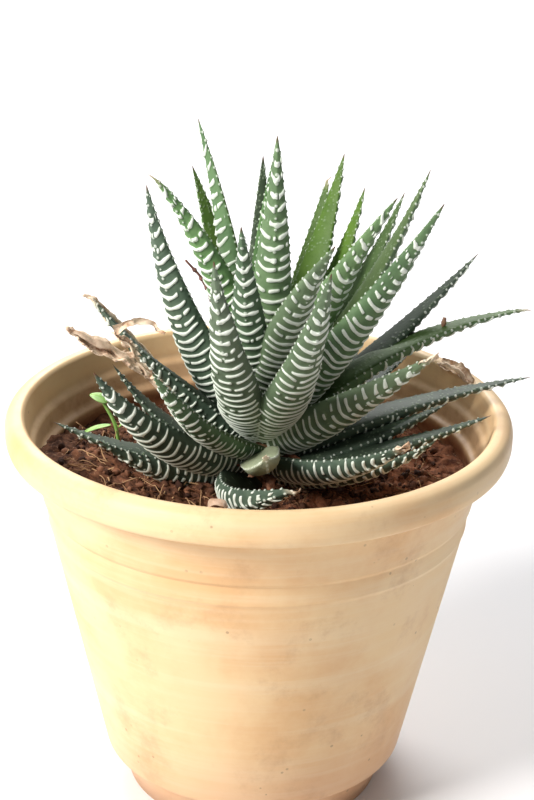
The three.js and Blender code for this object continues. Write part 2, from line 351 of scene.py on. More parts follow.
# The fine leaf's grid, and how far it stands out and in, in half widths.
leaf_rows = 340
outer_columns = 40
inner_columns = 26
leaf_first = 0.02
leaf_last = 0.994
leaf_bulge = 0.72
leaf_hollow = 0.2
leaf_keel = 0.35
# Marks on the skin, in mm: how high they stand, their spacing and their size.
band_lift = 0.4
tooth_lift = 0.3
dot_lift = 0.16
dots_per_mm = 2.2
dot_radius = (0.14, 0.26)
margin_teeth = ((1.5 * MM, 2.8 * MM), (0.26 * MM, 0.42 * MM))
keel_teeth = ((2 * MM, 3.4 * MM), (0.3 * MM, 0.5 * MM))
crumple_waves = ((130, 2.2), (420, 1.1))
band_pitch = 1.5
band_pitch_gain = 2.9


def leaf_outline(share):
    neck = neck_width + (1 - neck_width) * np.minimum(1, share / neck_share)
    blade = neck * (1 - share**fullness) ** pointedness
    return blade + tip_width * share**6 * (1 - share**40)


def read_leaf(node):
    """The middle line, width and facing of a CAD leaf, from the whole rings next to its tip."""
    points, triangles = node_mesh(node)
    near = neighbours(len(points), triangles)
    tip = int(np.argmax(((points - crown) ** 2).sum(1)))
    ring, seen = {tip}, {tip}
    centres, outs, halves = [points[tip]], [], []
    for level in range(1, leaf_rings):
        ring = set().union(*(near[i] for i in ring)) - seen
        seen |= ring
        if len(ring) != leaf_sides:
            break
        corners = points[sorted(ring)]
        apart = np.linalg.norm(corners[:, None] - corners[None], axis=-1)
        first, second = np.unravel_index(apart.argmax(), apart.shape)
        centre = (corners[first] + corners[second]) / 2
        if level >= 3:
            expected = 3 * centres[-1] - 3 * centres[-2] + centres[-3]
            if np.linalg.norm(centre - expected) > 0.1 * MM:
                break
        centres.append(centre)
        halves.append(apart.max() / 2)
        outs.append(unit(corners.mean(0) - centre))
    shares = 1 - np.arange(len(centres)) / leaf_rings
    spine = np.polynomial.polynomial.polyfit(shares, np.array(centres), 2)
    width = max(h / leaf_outline(np.array(s)) for h, s in zip(halves[1:], shares[2:]))
    return spine, width, shares[1:], np.array(outs)


def leaf_frames(spine, ring_shares, outs, shares):
    """Middle points, outward and sideways directions at each share of a leaf's length."""
    centre = spine[0] + np.outer(shares, spine[1]) + np.outer(shares**2, spine[2])
    along = unit(spine[1] + 2 * np.outer(shares, spine[2]))
    order = np.argsort(ring_shares)
    out = np.stack([np.interp(shares, ring_shares[order], outs[order, k]) for k in range(3)], -1)
    out = unit(out - along * (out * along).sum(1, keepdims=True))
    return centre, out, np.cross(out, along)


def white_bands(rng, distance, across, length, bare_tip):
    """How white and raised the outside is: curved bars across it that break up into beads."""
    field = np.zeros(np.broadcast(distance, across).shape)
    place = length - 1.5 * MM
    while place > bare_tip:
        share = 1 - place / length
        pitch = (band_pitch + band_pitch_gain * share**1.5) * MM
        bend = rng.uniform(1.2, 2.1) * MM * across**2
        wave = rng.uniform(0.1, 0.3) * MM * ripple(rng, across, 2, 2, 7)
        thick = (0.19 - 0.03 * share) * pitch * (1 + 0.25 * ripple(rng, across, 2, 4, 12))
        thick = thick * (1.1 - 0.45 * across**4)
        offset = (distance - place + bend + wave) / thick
        bar = np.exp(-(offset**4))
        for reach, way in zip(rng.uniform(0.85, 1.03, 2), (across, -across)):
            bar *= smooth(way, -reach - 0.04, -reach + 0.08)
        for _ in range(rng.poisson(0.3 + 2.8 * share**2)):
            gap = rng.uniform(-0.9, 0.9)
            bar *= 1 - np.exp(-(((across - gap) / rng.uniform(0.06, 0.13)) ** 4))
        field = np.maximum(field, bar)
        place -= pitch * rng.uniform(0.86, 1.14)
    return field


def add_spots(field, row_step, column_place, spots):
    """Adds round raised dots, each (row place, column place, radius), to a field on a grid."""
    rows = len(field)
    for row_place, column, radius in spots:
        reach = int(2.5 * radius / row_step) + 1
        middle = int(row_place / row_step)
        top, bottom = max(0, middle - reach), min(rows, middle + reach + 1)
        if bottom <= top:
            continue
        gap = np.arange(top, bottom) * row_step - row_place
        apart = np.hypot(gap[:, None], column_place[top:bottom] - column)
        dot = np.exp(-((apart / radius) ** 3))
        field[top:bottom] = np.maximum(field[top:bottom], dot)


def spots_in_line(rng, first, last, spacing, radius):
    """Places at uneven spacing along a line, for add_spots."""
    spots, place = [], first
    while place < last:
        spots.append((place, 0, rng.uniform(*radius)))
        place += rng.uniform(*spacing)
    return spots


def leaf_section():
    """Points round a leaf: how far across (-1 to 1), how far out, and whether on the outside."""
    turn = np.linspace(0, math.pi, outer_columns + 1)[:-1]
    back_turn = np.linspace(math.pi, 2 * math.pi, inner_columns + 1)[:-1]
    across = np.concatenate([np.cos(turn), np.cos(back_turn)])[None]
    rise = np.abs(np.concatenate([np.sin(turn), np.sin(back_turn)]))[None]
    outside = np.repeat([1.0, 0.0], [outer_columns, inner_columns])[None]
    return across, rise, outside


def crumple(points, dry):
    """Bends and wrinkles the dried part of a leaf as one thin sheet."""
    moved = points.copy()
    rows = np.flatnonzero(dry[:, 0] > 0.01)
    for i in rows:
        for j in range(points.shape[1]):
            moved[i, j] += shaken(Vector(points[i, j]), crumple_waves) * MM * dry[i, 0]
    return moved


def build_leaf(node, index, look, material):
    rng = np.random.default_rng(1000 + index)
    spine, half_width, ring_shares, outs = read_leaf(node)
    shares = np.linspace(leaf_first, leaf_last, leaf_rows)
    centre, out, side = leaf_frames(spine, ring_shares, outs, shares)
    length = np.linalg.norm(np.diff(centre, axis=0), axis=1).sum()
    row_step = length / (leaf_rows - 1)
    distance = (length * (1 - np.linspace(0, 1, leaf_rows)))[:, None]
    dry_from = look["dry"]
    dry = smooth(shares, dry_from - 0.03, dry_from + 0.07)[:, None]
    outline = leaf_outline(shares)[:, None]
    ragged = 0.36 * (1 - np.clip((shares[:, None] - 0.5) / 0.5, 0, 1) ** 8)
    if dry_from < 0.7:
        outline = outline + dry * (np.maximum(outline, ragged) - outline)
    half = half_width * outline

    across, rise, outside = leaf_section()
    keel = leaf_keel * smooth(shares, 0.35, 0.95)[:, None]
    ridge = (1 - keel) * rise**0.9 + keel * (1 - np.abs(across))
    depth = np.where(outside > 0, leaf_bulge * ridge, -leaf_hollow * rise**0.8)
    swell = 1 + 0.03 * ripple(rng, distance / MM, 3, 0.1, 0.45)
    across_mm = across * half * swell * (1 - 0.15 * dry)
    depth_mm = depth * half * (1 - 0.6 * dry)
    points = (
        centre[:, None] + side[:, None] * across_mm[..., None] + out[:, None] * depth_mm[..., None]
    )

    columns = outer_columns + inner_columns
    band = np.zeros((leaf_rows, columns))
    outer = slice(0, outer_columns)
    bare_tip = rng.uniform(5, 9) * MM
    band[:, outer] = look["bands"] * white_bands(rng, distance, across[:, outer], length, bare_tip)
    inner = slice(outer_columns, columns)
    dots = np.zeros((leaf_rows, columns))
    spots = []
    for _ in range(int(length / MM * dots_per_mm)):
        share = rng.uniform(0.12, 0.97)
        reach = half_width * float(leaf_outline(np.array(share)))
        edge = math.copysign(rng.uniform(0.02, 0.95) ** 0.7, rng.uniform(-1, 1))
        spots.append((share * length, edge * reach, rng.uniform(*dot_radius) * MM))
    add_spots(dots[:, inner], row_step, across_mm[:, inner], spots)

    stretch = np.hypot(
        np.diff(across_mm, axis=1, prepend=across_mm[:, -1:]),
        np.diff(depth_mm, axis=1, prepend=depth_mm[:, -1:]),
    )
    girth = np.cumsum(stretch, axis=1)
    teeth = np.zeros_like(band)
    for margin in (0, outer_columns):
        from_margin = girth - girth[:, margin : margin + 1]
        around = girth[:, -1:]
        from_margin = (from_margin + around / 2) % around - around / 2
        spots = spots_in_line(rng, 6 * MM, length - 1.5 * MM, *margin_teeth)
        add_spots(teeth, row_step, from_margin, spots)
    spots = spots_in_line(rng, 0.6 * length, length - 2 * MM, *keel_teeth)
    add_spots(teeth[:, outer], row_step, across_mm[:, outer], spots)

    if dry_from < 1:
        points = crumple(points, dry)
    normal = unit(np.cross(
        np.gradient(points, axis=0), np.roll(points, -1, axis=1) - np.roll(points, 1, axis=1)
    ))
    normal *= math.copysign(1, (normal * (points - centre[:, None])).sum(-1).mean())
    lift = (band_lift * band * (1 - 0.7 * dry) + tooth_lift * teeth + dot_lift * dots) * MM
    points = points + normal * (lift * smooth(distance, 0.5 * MM, 4 * MM))[..., None]

    tip = spine.sum(0) - 0.003 * spine[1]
    if dry_from < 1:
        tip = points[-1].mean(0) + 0.1 * (tip - centre[-1])
    shape, quads, triangles = closed_tube(points, centre[0], tip)
    ones = np.ones_like(band)
    fields = {
        "band": (band, 0, 0),
        "teeth": (teeth, 0, 0),
        "dots": (dots, 0, 0),
        "along": (ones * shares[:, None], 0, 1),
        "outer": (ones * outside, 0, 0),
        "dry": (ones * dry, dry[0, 0], dry[-1, 0]),
        "tint": (ones * look["tint"], look["tint"], look["tint"]),
        "glare": (ones * look["glare"], look["glare"], look["glare"]),
    }
    attributes = {k: np.append(grid.ravel(), ends) for k, (grid, *ends) in fields.items()}
    piece = make_piece("fine_" + node, shape, quads, triangles, attributes)
    finish_piece(piece, material, [node])


def leaf_material():
    n = Nodes("leaf_skin")
    tint, along, outer = n.attribute("tint"), n.attribute("along"), n.attribute("outer")
    dry, glare = n.attribute("dry"), n.attribute("glare")
    band = n.steps(n.attribute("band"), 0.28, 0.55)
    patches = n.steps(n.noise(140, 3), 0.3, 0.7)
    dark = n.mix(patches, (0.052, 0.077, 0.06), (0.086, 0.122, 0.092))
    shaded = n.mix(patches, (0.026, 0.038, 0.03), (0.047, 0.067, 0.05))
    # Bright outside green of the fresh leaves: partly their own colour, partly painted light shining
    # through them from behind.
    fresh_and_backlit = n.mix(patches, (0.105, 0.225, 0.075), (0.155, 0.3, 0.1))
    outside = n.mix(tint, dark, fresh_and_backlit)
    # The inner faces go from shaded on the dark leaves to a bright yellow-green on the fresh ones;
    # that yellow-green is partly their own colour, partly painted light shining through the leaf from
    # behind.
    inside = n.mix(tint, shaded, n.mix(patches, (0.066, 0.145, 0.012), (0.1, 0.195, 0.02)))
    green = n.mix(outer, inside, outside)
    # Painted light: lightens a leaf towards a pale grey-green, a haze of glare.
    green = n.mix(n.math("MULTIPLY", glare, 0.8), green, (0.42, 0.46, 0.31))
    green = n.mix(n.steps(along, 0.0, 0.14, 0.5, 0.0), green, (0.24, 0.28, 0.15))
    green = n.mix(n.math("MULTIPLY", n.attribute("dots"), 0.5), green, (0.3, 0.39, 0.25))
    green = n.mix(n.steps(along, 0.965, 0.995), green, (0.12, 0.05, 0.025))
    white = n.mix(n.noise(500, 2), (0.6, 0.68, 0.57), (0.86, 0.89, 0.83))
    colour = n.mix(n.math("MULTIPLY", n.steps(n.attribute("teeth"), 0.35, 0.7), 0.65), green, white)
    colour = n.mix(band, colour, white)
    straw = n.mix(n.steps(n.noise(330, 5, 0.7), 0.3, 0.6), (0.42, 0.22, 0.13), (0.88, 0.7, 0.52))
    colour = n.mix(dry, colour, straw)
    n.skin(colour, n.steps(band, 0, 1, 0.52, 0.62), 0.25)
    n.bump(n.noise(1200, 3), 0.45, 0.15 * MM)
    return n.material


# How fresh and backlit the green is (0 dark, 1 bright): partly the leaf's own fresher green, partly
# painted light shining through the leaf from behind; the leaves not named here are dark.
leaf_tints = {
    "crown_01": 0.55, "crown_02": 0.55, "crown_03": 0.8, "crown_04": 0.86, "crown_05": 0.8,
    "crown_06": 0.8, "crown_07": 0.15, "crown_08": 0.25, "crown_09": 0.4, "inner_01": 0.12,
    "inner_02": 0.95, "inner_03": 0.5, "inner_04": 0.7, "inner_05": 0.15, "inner_06": 0.3,
    "inner_07": 0.8, "inner_08": 0.5, "inner_09": 0.45, "middle_04": 0.45, "middle_05": 0.35,
    "middle_06": 0.35, "middle_11": 0.8,
}
# Share of the length from which a leaf has dried.
leaf_dry = {
    "lower_01": 0.5, "middle_02": 0.86, "middle_03": 0.93, "middle_05": 0.93,
    "lower_04": 0.92, "lower_11": 0.93, "crown_06": 0.955, "inner_07": 0.95, "middle_04": 0.96,
    "middle_11": 0.93,
}
# How much a leaf is lightened towards a pale grey-green: painted glare, a haze of strong light over
# these leaves.
leaf_glare = {
    "crown_01": 0.12, "crown_05": 0.15, "crown_09": 0.2, "inner_08": 0.04, "inner_06": 0.15,
    "inner_05": 0.17, "middle_11": 1.1,
    "middle_05": 0.2, "inner_03": 0.1,
}
leaf_bands = {"middle_11": 0.2}


def build_leaves():
    material = leaf_material()
    names = sorted(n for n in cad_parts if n.startswith("leaf_"))
    for index, node in enumerate(names):
        short = node.removeprefix("leaf_")
        look = {
            "tint": leaf_tints.get(short, 0.06),
            "dry": leaf_dry.get(short, 2.0),
            "glare": leaf_glare.get(short, 0.0),
            "bands": leaf_bands.get(short, 1.0),
        }
        build_leaf(node, index, look, material)


# ---- Pot -------------------------------------------------------------------------------

pot_columns = 256
pot_round = 0.9 * MM  # how far from a corner of the outline its rounding starts
round_share = 0.42  # and the most of either side that it takes
round_points = 5
hole_apart = 9 * MM
hole_sides = 40
profile_angle = math.radians(30)  # where the frame's pot has a line of points in its outline
same_angle = 1e-4
same_place = 1e-6


def pot_profile():
    """The pot's outline as [radius, height] points, from the foot over the rim to the floor."""
    points, triangles = node_mesh("pot")
    radius = np.hypot(points[:, 0], points[:, 1])
    angle = np.arctan2(points[:, 1], points[:, 0])
    in_line = (np.abs(angle - profile_angle) < same_angle) & (radius > MM)
    line = set(np.flatnonzero(in_line))
    near = neighbours(len(points), triangles)
    start = max((i for i in line if points[i, 2] < same_place), key=lambda i: radius[i])
    path, seen = [start], {start}
    while True:
        ahead = [i for i in near[path[-1]] & line if i not in seen]
        if not ahead:
            break
        here = points[path[-1]]
        ahead.sort(key=lambda i: np.linalg.norm(points[i] - here))
        path.append(ahead[0] if len(path) > 1 else max(ahead, key=lambda i: points[i, 2]))
        seen.add(path[-1])
    return np.stack([radius[path], points[path, 2]], -1)


def rounded(profile, cut):
    """The same outline with each corner replaced by a short curve."""
    made = [profile[0]]
    for before, corner, after in zip(profile, profile[1:], profile[2:]):
        back, ahead = before - corner, after - corner
        size = min(cut, *(round_share * np.linalg.norm(way) for way in (back, ahead)))
        first = corner + size * unit(back)
        last = corner + size * unit(ahead)
        for t in np.linspace(0, 1, round_points):
            made.append((1 - t) ** 2 * first + 2 * t * (1 - t) * corner + t**2 * last)
    made.append(profile[-1])
    return np.array(made)


def drain_holes():
    """Centre and radius of each drain hole, from the pot's points round the holes."""
    points, _ = node_mesh("pot")
    foot = np.hypot(points[:, 0], points[:, 1])
    under = points[:, 2] < same_place
    low = points[under & (foot > MM) & (foot < foot[under].max() - MM)]
    groups = []
    for point in low:
        for group in groups:
            if np.linalg.norm(group[0] - point) < hole_apart:
                group.append(point)
                break
        else:
            groups.append([point])
    return [(np.mean(g, axis=0), np.ptp(np.array(g)[:, 0]) / 2) for g in groups]


def build_pot():
    profile = rounded(pot_profile(), pot_round)
    angle = np.linspace(0, 2 * math.pi, pot_columns, endpoint=False)
    radius, height = profile[:, :1], profile[:, 1:]
    wobble = 1 + 0.0012 * np.sin(2 * angle + 0.7) + 0.0006 * np.sin(5 * angle + 2)
    wobble = 1 + (wobble - wobble.max()) * smooth(height, pot_low.z, pot_high.z)
    reach = radius * wobble
    rings = np.stack([reach * np.cos(angle), reach * np.sin(angle), height + 0 * wobble], -1)
    floor_height = profile[-1, 1]
    points, quads, triangles = closed_tube(rings, [0, 0, pot_low.z], [0, 0, floor_height])
    pot = make_piece("fine_pot", points, quads, triangles)
    for centre, size in drain_holes():
        depth = 4 * floor_height
        bpy.ops.mesh.primitive_cylinder_add(vertices=hole_sides, radius=size, depth=depth)
        cutter = bpy.context.object
        cutter.matrix_world = Matrix.Translation((centre[0], centre[1], floor_height / 2))
        hole = pot.modifiers.new("hole", "BOOLEAN")
        hole.object = cutter
        hole.solver = "EXACT"
        bpy.context.view_layer.objects.active = pot
        bpy.ops.object.modifier_apply(modifier="hole")
        bpy.data.objects.remove(cutter)
    pot.data.shade_smooth()
    finish_piece(pot, pot_material(), ["pot"])
    return profile


def pot_material():
    n = Nodes("pot_plastic")
    x, y, height = (n.coordinates()[axis] for axis in "XYZ")
    blotches = n.steps(n.noise(24, 6, 0.62), 0.4, 0.68)
    streaks = n.steps(n.noise(34, 5, 0.6, (0.3, 0.3, 7)), 0.42, 0.68)
    faded = n.mix(blotches, (0.84, 0.6, 0.33), (0.76, 0.46, 0.22))
    faded = n.mix(n.math("MULTIPLY", streaks, 0.4), faded, (0.87, 0.69, 0.45))
    low = n.steps(height, 0.0, 0.035, 0.65, 0.0)
    faded = n.mix(low, faded, (0.72, 0.4, 0.24))
    grime = n.math("MULTIPLY", n.steps(n.noise(55, 6, 0.7), 0.52, 0.75), 0.5)
    faded = n.mix(grime, faded, (0.55, 0.3, 0.15))
    specks = n.math("LESS_THAN", n.cells(240), 0.1)
    specks = n.math("MULTIPLY", specks, n.steps(n.noise(60, 2), 0.5, 0.62))
    faded = n.mix(n.math("MULTIPLY", specks, 0.5), faded, (0.3, 0.17, 0.1))
    geometry = n.node("ShaderNodeNewGeometry")
    flat = n.node("ShaderNodeCombineXYZ")
    n.put(flat.inputs[0], x)
    n.put(flat.inputs[1], y)
    outward = n.node("ShaderNodeVectorMath", operation="DOT_PRODUCT")
    n.put(outward.inputs[0], flat.outputs[0])
    n.put(outward.inputs[1], geometry.outputs["Normal"])
    inside = n.steps(outward.outputs["Value"], -0.02, -0.004, 1.0, 0.0)
    upper = n.mix(n.steps(n.noise(120, 5, 0.7), 0.4, 0.7), (0.56, 0.36, 0.2), (0.4, 0.22, 0.11))
    ledge = n.steps(height, rim_height - 0.0105, rim_height - 0.004, 0.85, 0.0)
    colour = n.mix(n.math("MULTIPLY", inside, ledge), faded, upper)
    stain = n.mix(n.steps(n.noise(90, 5, 0.65), 0.35, 0.7), (0.24, 0.09, 0.04), (0.45, 0.22, 0.11))
    deep = n.steps(height, rim_height - 0.018, rim_height - 0.0125, 1.0, 0.0)
    colour = n.mix(n.math("MULTIPLY", inside, deep), colour, stain)
    n.skin(colour, n.steps(n.noise(70, 4), 0.3, 0.7, 0.42, 0.62))
    n.bump(n.noise(300, 5, 0.6, (0.6, 0.6, 3)), 0.18, 0.25 * MM)
    return n.material


# ---- Soil ------------------------------------------------------------------------------

soil_rows = 150
soil_columns = 400
crumb_waves = ((160, 1.4), (420, 1.0), (1100, 0.5))
crumb_count = 1500
fibre_count = 420
fibre_points = 9
straw_count = 60
litter_reach = 51.5 * MM


def wall_radius(profile, height):
    """Inner radius of the pot at a height above its floor."""
    top = int(profile[:, 1].argmax())
    inner = profile[top:][::-1]
    order = np.argsort(inner[:, 1])
    return np.interp(height, inner[order, 1], inner[order, 0])


def soil_surface():
    """Height of the CAD soil above a place, found by looking straight down on it."""
    points, triangles = node_mesh("soil")
    tree = BVHTree.FromPolygons([Vector(p) for p in points], triangles.tolist())
    reach = soil_high.x - 0.5 * MM

    def height(x, y):
        shrink = min(1, reach / max(math.hypot(x, y), 1e-9))
        for scale in (shrink, 0.97 * shrink, 0.85 * shrink):
            hit = tree.ray_cast(Vector((x * scale, y * scale, 1)), Vector((0, 0, -1)))[0]
            if hit is not None and hit.z > stem_low.z:
                return hit.z
        return stem_high.z - 17 * MM

    return height


def crumb_relief(x, y):
    place = Vector((x, y, 0))
    return sum(noise.noise(place * scale) * reach for scale, reach in crumb_waves) * MM


def build_soil(profile, surface):
    angle = np.linspace(0, 2 * math.pi, soil_columns, endpoint=False)
    share = np.linspace(0.004, 1, soil_rows) ** 0.85
    rings = np.zeros((soil_rows, soil_columns, 3))
    for j, a in enumerate(angle):
        level = surface(soil_high.x * math.cos(a), soil_high.x * math.sin(a))
        edge = wall_radius(profile, level) - 0.15 * MM
        for i, s in enumerate(share):
            x, y = s * edge * math.cos(a), s * edge * math.sin(a)
            rings[i, j] = x, y, surface(x, y) + crumb_relief(x, y)
    wall = []
    for height in (0.7 * stem_low.z, 0.35 * stem_low.z, 11 * MM, soil_low.z):
        size = wall_radius(profile, height) - 0.2 * MM
        ring = np.stack([size * np.cos(angle), size * np.sin(angle), 0 * angle + height], -1)
        wall.append(ring[None])
    rings = np.concatenate([rings, *wall])
    middle = [0, 0, surface(0.001, 0.001)]
    points, quads, triangles = closed_tube(rings, middle, [0, 0, soil_low.z])
    soil = make_piece("fine_soil", points, quads, triangles)
    finish_piece(soil, soil_material(), ["soil"])


def soil_material():
    n = Nodes("soil_mix")
    lumps = n.steps(n.noise(350, 6, 0.7), 0.3, 0.72)
    dark = n.mix(lumps, (0.035, 0.014, 0.009), (0.2, 0.085, 0.045))
    red = n.mix(lumps, (0.09, 0.03, 0.016), (0.42, 0.17, 0.085))
    rightward = n.steps(n.coordinates()["X"], -0.02, 0.035)
    right = n.math("ADD", rightward, n.steps(n.noise(45, 3), 0.35, 0.65, -0.35, 0.35))
    colour = n.mix(n.steps(right, 0.0, 1.0), dark, red)
    flecks = n.steps(n.noise(900, 2), 0.62, 0.7)
    colour = n.mix(n.math("MULTIPLY", flecks, 0.6), colour, (0.42, 0.24, 0.14))
    n.skin(colour, 0.95, 0.2)
    n.bump(n.noise(1600, 4), 0.6, 0.4 * MM)
    return n.material


class Heap:
    """Many small closed shapes gathered into one mesh."""

    def __init__(self):
        self.points, self.quads, self.triangles, self.tints = [], [], [], []
        self.count = 0

    def add(self, points, quads, triangles, tint):
        self.points.append(points)
        self.quads.append(quads + self.count)
        self.triangles.append(triangles + self.count)
        self.tints.append(np.full(len(points), tint))
        self.count += len(points)

    def build(self, name, material, slot):
        piece = make_piece(
            name, np.vstack(self.points), np.vstack(self.quads), np.vstack(self.triangles),
            {"tint": np.concatenate(self.tints)},
        )
        finish_piece(piece, material)


def thread(route, radius, sides=6):
    """A thin round fibre along a route, its radius given at each point."""
    along = unit(np.gradient(route, axis=0))
    helper = np.array([0.3, 0.2, 1.0]) if abs(along[0, 2]) < 0.8 else np.array([1.0, 0.2, 0.1])
    first = unit(np.cross(along, helper))
    second = np.cross(along, first)
    turn = np.linspace(0, 2 * math.pi, sides, endpoint=False)
    ring = first[:, None] * np.cos(turn)[:, None] + second[:, None] * np.sin(turn)[:, None]
    return closed_tube(route[:, None] + ring * radius[:, None, None], route[0], route[-1])


def crumb(rng, place, size):
    """A small angular crumb: a rough ball of five rings."""
    rows, columns = 5, 7
    up = np.linspace(0.18, 0.82, rows) * math.pi
    turn = np.linspace(0, 2 * math.pi, columns, endpoint=False)
    ball = np.stack([
        np.sin(up)[:, None] * np.cos(turn), np.sin(up)[:, None] * np.sin(turn),
        np.cos(up)[:, None] + 0 * turn,
    ], -1)
    ball = ball * rng.uniform(0.65, 1.15, (rows, columns, 1)) * rng.uniform(0.6, 1.2, 3)
    spin = np.array(Matrix.Rotation(rng.uniform(0, 6), 3, Vector(rng.normal(size=3)).normalized()))
    ball = ball @ spin * size
    return closed_tube(ball + place, place + ball[0].mean(0), place + ball[-1].mean(0))


def on_soil(rng, surface, inner, outer):
    radius = math.sqrt(rng.uniform(inner**2, outer**2))
    angle = rng.uniform(0, 2 * math.pi)
    x, y = radius * math.cos(angle), radius * math.sin(angle)
    return np.array([x, y, surface(x, y) + crumb_relief(x, y)])


def scatter_soil(surface):
    rng = np.random.default_rng(7)
    crumbs, fibres = Heap(), Heap()
    for _ in range(crumb_count):
        size = rng.uniform(0.25, 0.95) ** 1.6 * 1.5 * MM
        place = on_soil(rng, surface, 8 * MM, litter_reach) + np.array([0, 0, 0.3 * size])
        crumbs.add(*crumb(rng, place, size), rng.uniform())
    crumbs.build("soil_crumbs", litter_material("soil_crumb", False), "soil_mix")
    for _ in range(fibre_count):
        start = on_soil(rng, surface, 10 * MM, 50 * MM)
        heading = rng.uniform(0, 2 * math.pi)
        length = rng.uniform(3, 15) * MM
        bend = rng.normal(0, 0.9)
        route = []
        place, height = start.copy(), rng.uniform(0.2, 0.9) * MM
        for _ in range(fibre_points):
            route.append([*place[:2], surface(*place[:2]) + height + rng.normal(0, 0.25) * MM])
            heading += bend / (fibre_points - 1) + rng.normal(0, 0.12)
            step = np.array([math.cos(heading), math.sin(heading), 0]) * length
            step /= fibre_points - 1
            if np.hypot(*(place + step)[:2]) > litter_reach:
                heading += 2.4
                step = -step
            place = place + step
        radius = rng.uniform(0.09, 0.24) * MM * np.linspace(1, 0.5, fibre_points)
        fibres.add(*thread(np.array(route), radius), rng.uniform())
    for _ in range(straw_count):
        start = on_soil(rng, surface, 34 * MM, 50 * MM)
        lean = unit(np.array([rng.normal(0, 1), rng.normal(0, 1), rng.uniform(0.3, 1.2)]))
        if np.hypot(*(start + lean * 8 * MM)[:2]) > 51 * MM:
            continue
        t = np.linspace(0, 1, 7)[:, None]
        side = rng.normal(0, 1.3, 3) * MM
        route = start + lean * t * rng.uniform(3, 9) * MM + side * t * (1 - t) * 3
        fibres.add(*thread(route, np.linspace(0.2, 0.08, 7) * MM), rng.uniform())
    fibres.build("soil_fibres", litter_material("soil_fibre", True), "soil_mix")


def litter_material(name, pale):
    n = Nodes(name)
    tint = n.attribute("tint")
    first, last = (0.04, 0.016, 0.01), (0.3, 0.13, 0.07)
    if pale:
        first, last = (0.12, 0.045, 0.02), (0.62, 0.38, 0.2)
    colour = n.mix(n.steps(tint, 0.2, 1.0), first, last)
    colour = n.mix(n.math("MULTIPLY", n.noise(700, 4, 0.7), 0.6), colour, first)
    n.skin(colour, 0.9, 0.25)
    return n.material


# ---- Dried tissue, stalk, stem and seedling --------------------------------------------


def resample(route, count):
    """A smoother line of evenly shared points along a route."""
    t = np.linspace(0, 1, len(route))
    s = np.linspace(0, 1, count)
    line = np.stack([np.interp(s, t, route[:, k]) for k in range(3)], -1)
    padded = np.pad(line, ((3, 3), (0, 0)), "edge")
    return np.stack([np.convolve(padded[:, k], np.ones(7) / 7, "valid") for k in range(3)], -1)


def scrap(rng, route, widths, lean, roughness=1.0):
    """A crumpled papery ribbon along a route, its half widths in mm, lying in direction lean."""
    lean = np.asarray(lean, float)
    steps, columns = 36, 12
    line = resample(np.array(route), steps)
    width = np.interp(np.linspace(0, 1, steps), np.linspace(0, 1, len(widths)), widths)
    width = width[:, None] * MM
    along = unit(np.gradient(line, axis=0))
    across = unit(lean - along * (along @ lean)[:, None])
    up = np.cross(along, across)
    u = np.linspace(-1, 1, columns)[None]
    curl = rng.uniform(0.2, 0.8)
    sheet = line[:, None] + across[:, None] * (u * width * (1 - 0.25 * curl * u**2))[..., None]
    sheet = sheet + up[:, None] * (curl * width * u**2)[..., None]
    for i in range(steps):
        for j in range(columns):
            sheet[i, j] += shaken(Vector(sheet[i, j]), scrap_waves) * MM * roughness
    thick = scrap_thickness * up[:, None]
    loop = np.concatenate([sheet + thick, (sheet - thick)[:, ::-1]], axis=1)
    return closed_tube(loop, loop[0].mean(0), loop[-1].mean(0))


def leaf_line(node, shares, side_share, lift):
    """Points along a leaf at a share of its half width, lifted off its middle plane, and the
    direction across it at the first."""
    spine, half_width, ring_shares, outs = read_leaf(node)
    centre, out, side = leaf_frames(spine, ring_shares, outs, shares)
    half = half_width * leaf_outline(shares)[:, None]
    return centre + side * half * side_share + out * lift, side[0]


scrap_waves = ((260, 1.1), (700, 0.55))
scrap_thickness = 0.14 * MM
# Share of the length of leaf_middle_04 at which a dry bud lies on it.
bud_share = 0.705
# Scraps caught on the inner edge of the rim: degrees round it, mm in from it, mm under its top.
rim_scrap = ((36, -0.2, 0.6), (31, -0.2, 0.0), (26, -0.2, -0.2), (20, -0.2, 0.5))
rim_curl = ((-100.5, 0.9, 1.6), (-99.5, 0.3, -0.1), (-97.5, 0.3, -0.3), (-96.5, 0.9, 1.2))


def rim_route(mouth, places):
    route = []
    for degrees, inward, below in places:
        angle, reach = math.radians(degrees), mouth - inward * MM
        route.append([reach * math.cos(angle), reach * math.sin(angle), rim_height - below * MM])
    return np.array(route)


